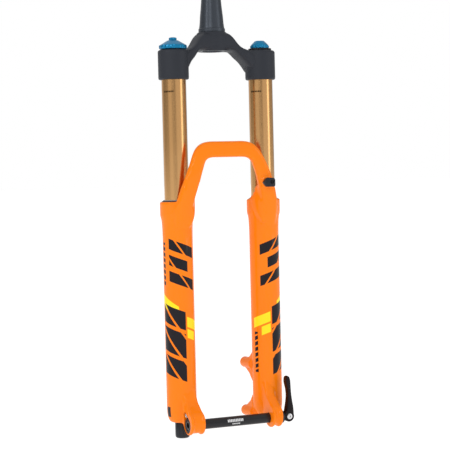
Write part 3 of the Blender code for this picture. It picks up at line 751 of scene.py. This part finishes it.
# %% Arch
collar_top = -250.5
leg_profile = [(0, collar_top), (23.4, collar_top), (24.6, collar_top - 0.5),
               (25, collar_top - 1.6), (25, -268.6),
               (24.7, -271.5), (23.4, -276.5), (22.7, -283), (22.35, -292), (22.15, -304),
               (22.15, -556), (21.9, -562), (21.0, -568), (19.3, -572.6), (17, -575.2),
               (14.8, -576), (0, -576)]
arch_front = [(-310, -33.5), (-298, -37.5), (-282, -42.5), (-265, -47.2), (-250, -51.2),
              (-234, -54), (-214, -55.3), (-198, -55.2), (-186, -53.8), (-172, -50.5),
              (-163, -48.2)]
arch_back = [(-310, -20), (-288, -22), (-270, -22), (-258, -24), (-243, -30), (-236, -35),
             (-228, -39.5), (-217, -42.5), (-207, -43), (-196, -42.3), (-186, -39.6),
             (-175, -36.4), (-163, -34.8)]
arch_half = [  # share of the way down, then the outer and the inner edge, each X and Z
    (0.0, (0, -163.5, 0, -187)), (0.12, (14, -163.5, 13, -187)),
    (0.24, (27.5, -163.6, 24.5, -187.1)), (0.32, (36, -165.0, 30.5, -188.0)),
    (0.40, (43, -168.2, 35.3, -190.6)), (0.48, (49, -173.6, 38.8, -195.5)),
    (0.56, (54.5, -182, 41.2, -202.5)), (0.64, (60, -193.8, 44.2, -211.5)),
    (0.72, (66, -207.8, 47.0, -222)), (0.80, (71, -220.5, 49.7, -232)),
    (0.86, (75.8, -234, 52.2, -242)), (0.91, (79.5, -247, 54.3, -252)),
    (0.95, (82.5, -261, 56.6, -266)), (0.98, (82, -278, 58.2, -283)),
    (1.0, (79, -302, 62, -304))]


def arch_section(turn, share):
    side = 1 if share > 0.5 else -1
    outer_x, outer_z, inner_x, inner_z = eased(arch_half, abs(2 * share - 1))
    a, b = pillow(turn, 3.6)
    x = (outer_x + inner_x) / 2 + a * (outer_x - inner_x) / 2
    z = (outer_z + inner_z) / 2 + a * (outer_z - inner_z) / 2
    front = np.interp(z, *zip(*arch_front))
    back = np.interp(z, *zip(*arch_back))
    return side * x, (front + back) / 2 - b * (front - back) / 2, z


def leg_room(side):
    """The space that a strut leaves free round the tube and the crown's boss."""
    return turned("room", [(0, -150), (24.4, -150), (24.4, -243), (23.6, -245), (23.6, -300),
                           (0, -300)], LEGS[side], steps=128)


casting = rolled("lower_legs", 72, 260, arch_section)
for side in SIDES:
    cut(casting, leg_room(side))
for side, sign in (("right", -1), ("left", 1)):
    plan = [(57, -44), (52, -41), (48, -33), (45.8, -24), (45.8, -18), (60, -18), (60, -44)]
    shape = [(57, -226), (50.5, -231), (49.5, -238), (47.6, -244), (46.0, -250), (46.6, -258),
             (49, -268), (53, -277), (58, -287), (62, -287), (62, -226)]
    flare = slab("flare", [(sign * x, y) for x, y in plan], "XY", -290, -200)
    side_view = slab("shape", [(sign * x, z) for x, z in shape], "XZ", -60, 0)
    cut(flare, side_view, operation="INTERSECT")
    cut(flare, leg_room(side))
    join(casting, flare)
print("arch and flares:", len(casting.data.polygons), "faces")

# %% [markdown]
# ### Dropouts and posts
# Each dropout is an eye round the axle with a raised lip on both faces, on a web that runs up
# the front of the leg. The brake caliper bolts to two posts behind the rider's left leg, each
# with its own gusset.

# %% Dropouts, posts and pad
eye = (-53.0, -573.8)
lip_r = 17.0
dropout_faces = {"left": (55.0, 71.0), "right": (-77.0, -55.0)}
web_outline = [*arc(eye, lip_r - 2.0, 172, 322, 24), (-30, -577), (-24, -572), (-14, -560),
               (-18, -528), (-36.5, -524), (-40.3, -535), (-44, -542.5), (-50, -549), (-57, -555),
               (-64.5, -561)]
for side, (low, high) in dropout_faces.items():
    lips = [(0, high), (lip_r - 0.5, high), (lip_r + 0.2, high - 0.7), (lip_r + 0.2, high - 3.4),
            (lip_r - 2.4, high - 5.6), (lip_r - 2.4, low + 5.6), (lip_r + 0.2, low + 3.4),
            (lip_r + 0.2, low + 0.7), (lip_r - 0.5, low), (0, low)]
    web = slab("web", web_outline, "YZ", low + 0.4, high - 0.4)
    soften(web, 2.2, 3)
    join(casting, turned("eye", lips, (0, *eye), "X", 96), web)
post_face = span("lower_casting", "Y")[1]
post_x = 54.0
gussets = {-501: [(-8, -482), (3, -490), (24, -496.5), (24, -505.5), (4, -516), (-8, -528)],
           -575: [(-8, -545), (2, -557), (24, -570), (24, -580), (-6, -574)]}
post_profile = [(0, post_face), (7.6, post_face), (8.3, post_face - 0.8), (8.3, -6), (0, -6)]
for z, gusset in gussets.items():
    post = turned("post", post_profile, (post_x, 0, z), "Y", 64)
    rib = slab("gusset", gusset, "YZ", post_x - 4.5, post_x + 6)
    soften(rib, 1.5, 2)
    join(casting, post, rib)
pad = slab("pad", [(51.5, -219.5), (54, -217.8), (68.5, -218.8), (70, -221), (70.3, -231),
                   (54, -233.4), (51.5, -231)], "XZ", -57.0, -46)
soften(pad, 1.2, 2)
join(casting, pad)
join(casting, *(turned("leg", leg_profile, LEGS[side], steps=128) for side in SIDES))
print("rough casting:", len(casting.data.polygons), "faces")

# %% Melting, truing and machining
melt(casting, 1.32, 5)


def blend_zone(thing, rounds, inside):
    """Smooth only where a test on the point says so."""
    zone = thing.vertex_groups.new(name="blend")
    zone.add([v.index for v in thing.data.vertices if inside(*(v.co / MM))], 1.0, "REPLACE")
    modify(thing, "SMOOTH", factor=0.5, iterations=rounds, vertex_group="blend")
    thing.vertex_groups.clear()


def strut_root(x, y, z):
    return -312 < z < -256 and y < -12 and not (abs(x) > 88 and z > -272)


def strut_side(x, y, z):
    return -262 < z < -222 and y < -22 and math.hypot(abs(x) - LEG_X, y - LEG_Y) > 25.4


def web_root(x, y, z):
    return -562 < z < -515 and -48 < y < -30


blend_zone(casting, 70, strut_root)
blend_zone(casting, 25, strut_side)
blend_zone(casting, 30, web_root)
for side in SIDES:
    true_up(casting, LEGS[side], leg_profile[3:12], 0.5)
bore_profile = [(0, -240), (22.8, -240), (22.8, -262), (21.5, -262), (21.5, -268), (20, -268),
                (20, -376), (18.8, -378), (18.8, -566), (4.4, -566), (4.4, -590), (0, -590)]
drills = [turned("bore", bore_profile, LEGS[side], steps=96) for side in SIDES]
drills.append(bar("axle_bore", 7.8, -100, 100, centre=AXLE, along="X", steps=64))
drills += [bar("post_hole", 2.6, 20, 40, centre=(post_x, 0, z), along="Y", steps=32)
           for z in gussets]
keeper_y, keeper_z, keeper_r, nut_r = -43.3, -563.0, 4.2, 11.4
KEEPER = (0, keeper_y, keeper_z)
drills.append(bar("keeper_hole", 1.9, -74, -66, centre=KEEPER, along="X", steps=24))
cut(casting, join(*drills))
dy, dz = keeper_y - AXLE_Y, keeper_z - AXLE_Z
lean = math.degrees(math.atan2(dz, dy))
tangent = math.degrees(math.acos((nut_r - keeper_r - 0.1) / math.hypot(dy, dz)))
slot = [*arc(AXLE[1:], nut_r + 0.5, lean + tangent, lean + 360 - tangent, 48),
        *arc(KEEPER[1:], keeper_r + 0.6, lean - tangent, lean + tangent, 16)]
cut(casting, slab("nut_slot", slot, "YZ", -90, -71))
smooth(casting, 38)
corners = [v.co for v in casting.data.vertices]
print("casting box", [round(v / MM, 1) for v in (*np.min(corners, 0), *np.max(corners, 0))])
fit(casting, LOWER, PAINT, "orange_paint", "lower_casting")

# %% [markdown]
# ## Wiper seals
# Where each tube enters its leg there is a moulded wiper: a black body pressed into the collar,
# with a paler lip that hugs the tube.

# %% Wiper seals
for side in SIDES:
    body = turned("wiper_body_" + side,
                  [(21.6, -249.6), (22.5, -250.6), (22.5, -261.7), (18.4, -261.7),
                   (18.4, -249.2), (19.4, -249.0), (20.4, -249.3)], LEGS[side])
    fit(smooth(body), LOWER, RUBBER, "black_rubber", "wiper_seal_" + side)
    lip = turned("wiper_lip_" + side,
                 [(18.35, -248.1), (19.5, -248.0), (20.3, -248.4), (20.3, -249.1),
                  (19.4, -248.9), (18.35, -249.0)], LEGS[side])
    fit(smooth(lip), LOWER, GREY_RUBBER, "black_rubber")

# %% [markdown]
# ## Feet
# Under the damper leg a ribbed black cover hides the blue rebound knob. Under the spring leg
# the foot nut shows, with a hexagon socket for its key.

# %% Rebound cover, knob and foot nuts
cover = turned("rebound_shroud", [(10.4, -576.3), (10.75, -576.8), (10.75, -596.2), (10.2, -598.4),
                                  (8.6, -599.7), (6.5, -600.0), (0, -600.0)], right_leg, steps=96)
hollow = [(0, -570), (9.0, -570), (9.0, -597.4), (8.4, -598.2), (0, -598.2)]
cut(cover, turned("hollow", hollow, right_leg))
for spot in spots(right_leg, 11.1, 15, 12):
    cut(cover, bar("groove", 0.8, -594.5, -581.5, steps=16, centre=(*spot, 0)))
fit(smooth(cover), "rebound_cover", PLASTIC, "black_plastic", "rebound_cover")

knob_top = span("rebound_knob", "Z")[1]
knob = slab("rebound_dial", moved(fluted(18, 8.4, 0.6), right_leg), "XY", knob_top - 9.6, knob_top)
soften(knob, 0.4, 2, 60)
fit(smooth(knob), "rebound_knob", BLUE, "blue_anodise", "rebound_knob")

foot = turned("spring_foot_nut", [(0, -560), (2.2, -560), (2.2, -566.4), (4.0, -566.8),
                                  (4.0, -577.9), (6.4, -577.9), (6.8, -578.3),
                                  (6.8, -582.0), (6.3, -582.5), (0, -582.5)], left_leg, steps=64)
cut(foot, slab("key", spots(left_leg, 3, 0, 6), "XY", -590, -579.2))
fit(smooth(foot), LOWER, BLACK, "black_anodise", "air_foot_nut")

# %% [markdown]
# ## Hose guide
# A small moulded clip on the pad holds the brake hose, and one button-head screw holds the clip.

# %% Hose guide and screw
guide = slab("hose_clip", [(50.5, -226.0), (54, -220.5), (58, -218.5), (67.5, -219.2),
                           (69.3, -221.5), (69.5, -230.5), (67.5, -232.3), (56, -232.2),
                           (53, -229.5)], "XZ", -62.5, -57.2)
cut(guide, bar("groove", 3.0, -240, -210, centre=(58.0, -63.9, 0), steps=48),
    bar("hole", 1.9, -70, -50, centre=(65.0, 0, -225.5), along="Y", steps=32))
smooth(soften(guide, 0.7, 3))
fit(guide, LOWER, PLASTIC, "black_plastic", "hose_guide")


def key_screw(name, tip, neck, head, radius, centre, along, toward, key):
    """A button-head screw: its head ends at head, and toward is the sign it faces."""
    rise = head - neck
    screw = turned(name, [(0, tip), (1.5, tip), (1.5, neck), (radius, neck),
                          (radius, neck + rise * 0.45), (radius * 0.78, neck + rise * 0.85),
                          (radius * 0.5, head), (0, head)], centre, along, 48)
    flat = [c for c, letter in zip(centre, "XYZ") if letter != along]
    ends = sorted((head + toward, head - toward * 1.3))
    cut(screw, slab("key", spots(flat, key, 0, 6), {"X": "YZ", "Y": "XZ"}[along], *ends))
    return smooth(screw)


guide_screw = key_screw("clip_screw", -57.6, -62.8, -65.4, 3.0, (65.0, 0, -225.5), "Y", -1, 1.5)
fit(guide_screw, LOWER, BLACK, "black_anodise", "hose_guide_screw")

# %% [markdown]
# ## Axle, nut and lever
# The through axle screws into a nut that a small keeper stops from turning. At the other end the
# axle carries a cam follower, and a lever on a cross pin. The lever's blade is rolled from its
# two edges and melted into its barrel, so that they meet in a fillet.

# %% Nut and keeper
nut_low, nut_high = span("axle_nut", "X")
nut = turned("axle_nut_ring", [(nut_r - 0.5, nut_low), (nut_r, nut_low + 0.5),
                               (nut_r, nut_high), (7.8, nut_high),
                               (7.8, nut_low + 0.6), (8.4, nut_low)], AXLE, "X")
for spot in spots(AXLE[1:], nut_r - 0.5, 20, 6):
    cut(nut, bar("bite", 1.1, nut_low - 2, nut_low + 2.0, centre=(0, *spot), along="X", steps=20))
smooth(soften(nut, 0.15, 2))
fit(nut, LOWER, BLACK, "black_anodise", "axle_nut")
keeper = ring("nut_keeper", 2.0, keeper_r, *span("axle_nut_keeper", "X"),
              centre=KEEPER, along="X", steps=64)
smooth(soften(keeper, 0.3, 2))
fit(keeper, LOWER, ALUMINIUM, "bright_steel", "axle_nut_keeper")
screw_low = span("keeper_screw", "X")[0]
keeper_screw = key_screw("nut_keeper_screw", -67.4, screw_low + 1.5, screw_low, 3.0,
                         KEEPER, "X", -1, 1.4)
fit(keeper_screw, LOWER, STEEL, "bright_steel", "keeper_screw")

# %% Axle with its row of tick marks
def axle_finish():
    look = Finish("black_axle_with_ticks", (0.012, 0.012, 0.014), 0.3, 0.4)
    x, y, z = look.split()
    along = look.math("MULTIPLY", x, 1 / MM)
    height = look.math("MULTIPLY", z, 1 / MM)
    front = look.math("LESS_THAN", y, AXLE_Y * MM)
    coarse = look.math("MULTIPLY", look.inside(height, AXLE_Z + 0.4, AXLE_Z + 4.2),
                       look.inside(look.math("PINGPONG", along, 1.3), 0.35, 1.3))
    thin = look.math("MULTIPLY", look.inside(height, AXLE_Z - 3.4, AXLE_Z - 1.6),
                     look.inside(look.math("PINGPONG", along, 0.8), 0.3, 0.8))
    rows = look.union([look.math("MULTIPLY", coarse, look.inside(along, -15, 10)),
                       look.math("MULTIPLY", thin, look.inside(along, -8, 5))])
    grain = look.noise(90.0, 3.0, (60, 1, 1))
    black = look.mix(grain, (0.010, 0.010, 0.012), (0.016, 0.016, 0.019))
    look.link(look.mix(look.math("MULTIPLY", rows, front), black, (0.75, 0.75, 0.76)), "Base Color")
    look.link(look.between(grain, 0.24, 0.36), "Roughness")
    look.bump(grain, 0.04, 0.0001)
    return look.mat


AXLE_BLACK = axle_finish()
axle_low = span("axle_shaft", "X")[0]
face_x = span("cam_follower", "X")[1]
pivot_x = middle("lever_pivot_pin", "X")
axle = turned("through_axle", [(0, face_x), (7.2, face_x), (7.5, face_x - 0.3),
                               (7.5, axle_low + 0.8), (6.7, axle_low), (4.4, axle_low),
                               (4.4, axle_low + 9), (0, axle_low + 9)], AXLE, "X", 96)
tongue = slab("tongue", [(65, AXLE_Z - 5), *arc((pivot_x, AXLE_Z), 5, -90, 90, 24),
                         (65, AXLE_Z + 5)], "XZ", AXLE_Y - 3.0, AXLE_Y + 3.0)
cut(axle, tongue, operation="UNION")
cut(axle, bar("hole", 3.2, -80, -20, centre=(pivot_x, 0, AXLE_Z), along="Y", steps=48))
fit(smooth(axle), "axle", AXLE_BLACK, "black_anodise", "axle_shaft")

washer = ring("lever_washer", 7.8, 10.0, *span("axle_washer", "X"), centre=AXLE, along="X")
smooth(soften(washer, 0.3, 2))
fit(washer, "axle_carrier", ALUMINIUM, "bare_aluminium", "axle_washer")
follower_low = span("cam_follower", "X")[0]
follower = turned("lever_follower", [(8.0, face_x), (9.2, face_x - 0.8), (10.0, face_x - 2.2),
                                     (10.0, follower_low + 0.4), (9.6, follower_low),
                                     (7.8, follower_low), (7.8, face_x)], AXLE, "X")
fit(smooth(follower), "axle", PLASTIC, "black_plastic", "cam_follower")

# %% Lever and its pin
lever_edges = [  # height, then the inner and outer edge in X and half the depth in Y
    (-581, (83.0, 93.0, 6.0)), (-575, (81.0, 95.4, 6.2)), (-569, (82.0, 95.4, 6.2)),
    (-563, (83.2, 94.8, 6.1)), (-554, (84.9, 93.3, 5.8)), (-545, (85.7, 92.0, 5.6)),
    (-535, (84.9, 91.1, 6.0)), (-527, (83.2, 90.6, 6.6)), (-521.0, (83.2, 89.8, 6.6)),
    (-517.2, (84.6, 88.0, 5.0)), (-516.2, (86.0, 86.8, 2.0))]


def lever_section(turn, share):
    bottom, top = lever_edges[0][0], lever_edges[-1][0]
    z = bottom + share * (top - bottom)
    inner, outer, deep = eased(lever_edges, z)
    a, b = pillow(turn, 3.6)
    return (inner + outer) / 2 + a * (outer - inner) / 2, AXLE_Y + b * deep, z


lever = rolled("lever_blade", 40, 120, lever_section)
lever_r = span("qr_lever", "X")[1] - pivot_x
barrel = turned("barrel", [(0, AXLE_Y + 6), (lever_r - 0.8, AXLE_Y + 6), (lever_r, AXLE_Y + 5.2),
                           (lever_r, AXLE_Y - 5.2), (lever_r - 0.8, AXLE_Y - 6), (0, AXLE_Y - 6)],
                (pivot_x, 0, AXLE_Z), "Y", 64)
join(lever, barrel)
melt(lever, 0.5, 5)
opening = [(70, AXLE_Z - 12), (104, AXLE_Z - 12), (104, AXLE_Z + 2.5),
           (pivot_x + 6.4, AXLE_Z + 4.5), (pivot_x + 4.5, AXLE_Z + 6.4), (70, AXLE_Z + 6.4)]
cut(lever, slab("opening", opening, "XZ", AXLE_Y - 3.4, AXLE_Y + 3.4))
cut(lever, bar("hole", 3.3, -80, -20, centre=(pivot_x, 0, AXLE_Z), along="Y", steps=48))
smooth(lever, 40)
fit(lever, "lever", LEVER_BLACK, "black_anodise", "qr_lever")
pin_profile = [(0, 6.8), (2.6, 6.8), (3.0, 6.4), (3.0, -6.1), (4.2, -6.2), (4.2, -6.9),
               (3.7, -7.2), (0, -7.2)]
pin = turned("pivot_pin", [(r, AXLE_Y + y) for r, y in pin_profile], (pivot_x, 0, AXLE_Z), "Y", 48)
cut(pin, slab("key", spots((pivot_x, AXLE_Z), 1.9, 15, 6), "XZ", AXLE_Y - 9, AXLE_Y - 5.6))
fit(smooth(pin), "axle", STEEL, "bright_steel", "lever_pivot_pin")
print(len(made), "pieces made:", ", ".join(made))

# %% [markdown]
# ## The studio
# A white sweep, soft light from all round, and darker cards to either side so that the turned
# tubes and the lacquer have something to reflect. The cards are drawn into the sky by compass
# direction. Only the camera sees plain white behind the fork.

# %% Floor and sky
floor_z = min(cad_box[0][2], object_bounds()[0][2]) - 0.0005
clear()
bpy.ops.mesh.primitive_plane_add(size=60, location=(0, 0, floor_z))
floor = named("floor")
paper = bpy.data.materials.new("white_paper")
paper.use_nodes = True
paper_shader = paper.node_tree.nodes["Principled BSDF"]
for socket, value in (("Base Color", (0.2, 0.2, 0.2, 1)), ("Roughness", 0.9),
                      ("Emission Color", (1, 1, 1, 1)), ("Emission Strength", 0.95)):
    paper_shader.inputs[socket].default_value = value
floor.data.materials.append(paper)

DIFFUSE_SKY, BAND_LEVEL, OVERHEAD = 0.62, 0.7, 0.8
VIEW_TURN = math.radians(-24.3)  # the camera stands this far round to the rider's right


def sky():
    world = bpy.data.worlds.new("studio")
    bpy.context.scene.world = world
    world.use_nodes = True
    tree = world.node_tree
    tree.nodes.clear()
    link = tree.links.new
    place = add_node(tree, "TexCoord").outputs["Generated"]
    split = add_node(tree, "SeparateXYZ")
    link(place, split.inputs[0])
    angle = add_node(tree, "Math", operation="ARCTAN2")
    directions = ((math.cos(VIEW_TURN), math.sin(VIEW_TURN), 0),
                  (math.sin(VIEW_TURN), -math.cos(VIEW_TURN), 0))
    for socket, direction in zip(angle.inputs, directions):
        node = add_node(tree, "VectorMath", operation="DOT_PRODUCT")
        node.inputs[1].default_value = direction
        link(place, node.inputs[0])
        link(node.outputs["Value"], socket)
    share = add_node(tree, "MapRange", from_min=-math.pi, from_max=math.pi)
    link(angle.outputs[0], share.inputs["Value"])
    ramp = add_node(tree, "ValToRGB")
    ramp.color_ramp.interpolation = "EASE"
    stops = [(-180, 1.0), (-128, 1.0), (-112, 0.40), (-62, 0.46), (-48, 0.95), (-26, 0.95),
             (-16, 0.46), (10, 0.46), (22, 1.05), (66, 1.05), (88, 0.60), (160, 0.55), (180, 1.0)]
    elements = ramp.color_ramp.elements
    while len(elements) < len(stops):
        elements.new(0.5)
    for element, (degrees, level) in zip(elements, stops):
        element.position = (degrees + 180) / 360
        element.color = (level * BAND_LEVEL,) * 3 + (1,)
    link(share.outputs[0], ramp.inputs[0])
    above = add_node(tree, "MapRange", from_min=0.45, from_max=0.85)
    link(split.outputs[2], above.inputs["Value"])
    paths = add_node(tree, "LightPath").outputs
    latest = ramp.outputs[0]
    for fac, level in ((above.outputs[0], OVERHEAD), (paths["Is Diffuse Ray"], DIFFUSE_SKY),
                       (paths["Is Camera Ray"], 1.0)):
        seen = add_node(tree, "Mix", data_type="RGBA")
        link(fac, seen.inputs[0])
        link(latest, seen.inputs[6])
        seen.inputs[7].default_value = (level, level, level, 1)
        latest = seen.outputs[2]
    background = add_node(tree, "Background")
    link(latest, background.inputs[0])
    link(background.outputs[0], add_node(tree, "OutputWorld").inputs[0])


sky()


# %% Lamps
def lamp(name, place, aim, size, power):
    clear()
    bpy.ops.object.light_add(type="AREA", location=place)
    light = bpy.context.object
    light.name = name
    light.data.shape = "RECTANGLE"
    light.data.size, light.data.size_y = size
    light.data.energy = power
    light.rotation_euler = (Vector(aim) - Vector(place)).to_track_quat("-Z", "Y").to_euler()
    return light


CENTRE = (0, 0, -0.25)
lamp("key_light", (-1.6, -2.2, 1.2), CENTRE, (0.9, 1.6), 15)
lamp("fill_light", (1.9, -1.6, 0.4), CENTRE, (0.8, 1.8), 7)
lamp("rim_light", (-1.7, -0.5, 0.9), (0, 0, -0.15), (0.25, 1.2), 7)
print("studio ready, floor at", round(floor_z, 4))

# %% [markdown]
# ## Camera
# A long lens a little over two metres away, turned towards the rider's right leg and level
# with the lower legs. It leans by just over a degree, as a hand-held frame does.

# %% Camera
clear()
bpy.ops.object.camera_add()
camera = bpy.context.object
camera.name = "portrait_camera"
pitch, lean = math.radians(2.15), math.radians(-1.38)
right = Vector((math.cos(VIEW_TURN), math.sin(VIEW_TURN), 0))
ahead = Vector((-math.sin(VIEW_TURN) * math.cos(pitch), math.cos(VIEW_TURN) * math.cos(pitch),
                -math.sin(pitch)))
up = right.cross(ahead)
leaned_right = math.cos(lean) * right + math.sin(lean) * up
leaned_up = -math.sin(lean) * right + math.cos(lean) * up
turn = Matrix((leaned_right, leaned_up, -ahead)).transposed()
camera.matrix_world = Matrix.Translation(Vector((-920.0, -2068.8, -203.5)) * MM) @ turn.to_4x4()
camera.data.lens = 120.68
camera.data.sensor_width = 36
bpy.context.scene.camera = camera
bpy.context.scene.view_settings.view_transform = "Standard"

# %% Sizes and the end
print("CAD box", cad_box)
